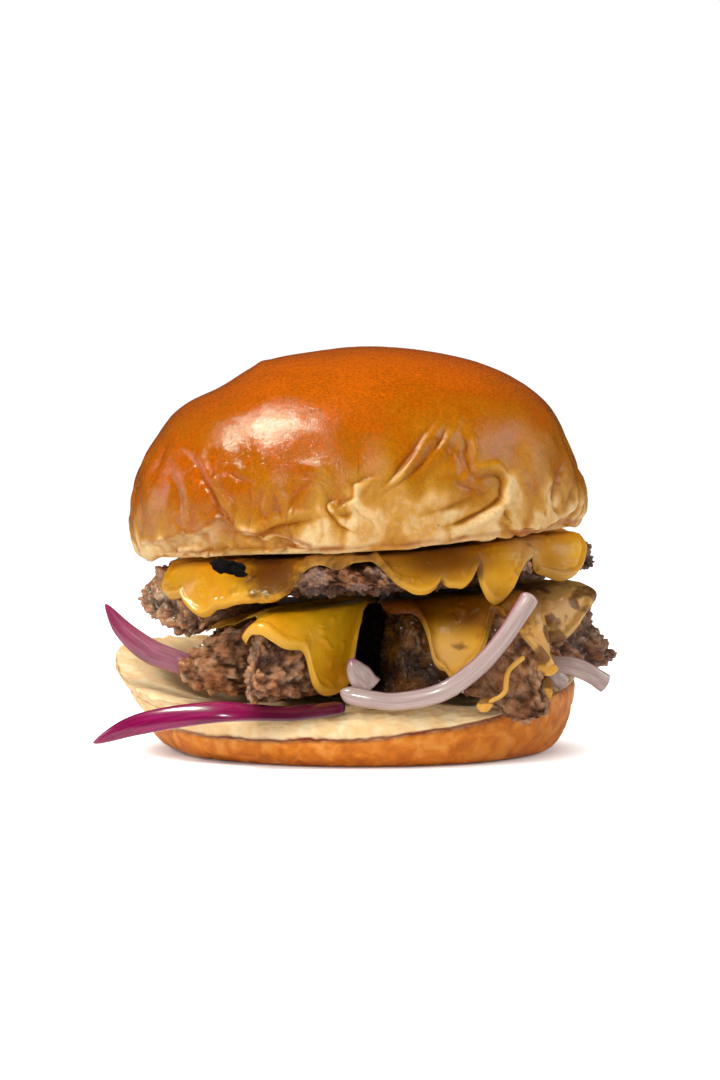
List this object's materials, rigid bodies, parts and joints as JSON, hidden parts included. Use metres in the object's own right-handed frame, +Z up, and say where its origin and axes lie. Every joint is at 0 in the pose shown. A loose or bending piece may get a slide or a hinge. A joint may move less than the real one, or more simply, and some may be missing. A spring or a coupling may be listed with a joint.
{
  "type": "smash burger",
  "caption": "smash burger in a glazed bun, with stacked crumbly patties under melted cheese, and sliced red onion spilling out at the front and sides",
  "frame": {"origin": "under the middle of the bun, on the plane the heel's foot rests on", "axes": "+Z up, +X to the burger's right as pictured, -Y is its front, which faces the camera"},
  "size_m": [0.1237, 0.1089, 0.0975],
  "materials": {
    "crust": "egg-washed baked crust, satin gloss, orange-brown on top fading to pale cream below",
    "meat": "crumbly browned mince, moist",
    "cheese": "melted cheese slice, smooth and glossy",
    "onion_skin": "wet purple outer skin of red onion",
    "onion_flesh": "wet white inner flesh of red onion",
    "char": "burnt flake, dull black"
  },
  "bodies": {
    "root": {"bun_crown": "crust", "bun_heel": "crust", "patty_upper": "meat", "patty_lower": "meat", "cheese_upper": "cheese", "cheese_lower": "cheese", "onion_long": "onion_skin", "onion_peak": "onion_skin", "onion_arc": "onion_flesh", "onion_stub": "onion_flesh", "onion_ledge": "onion_flesh", "onion_rim": "onion_flesh", "char_flake": "char"}
  },
  "joints": []
}
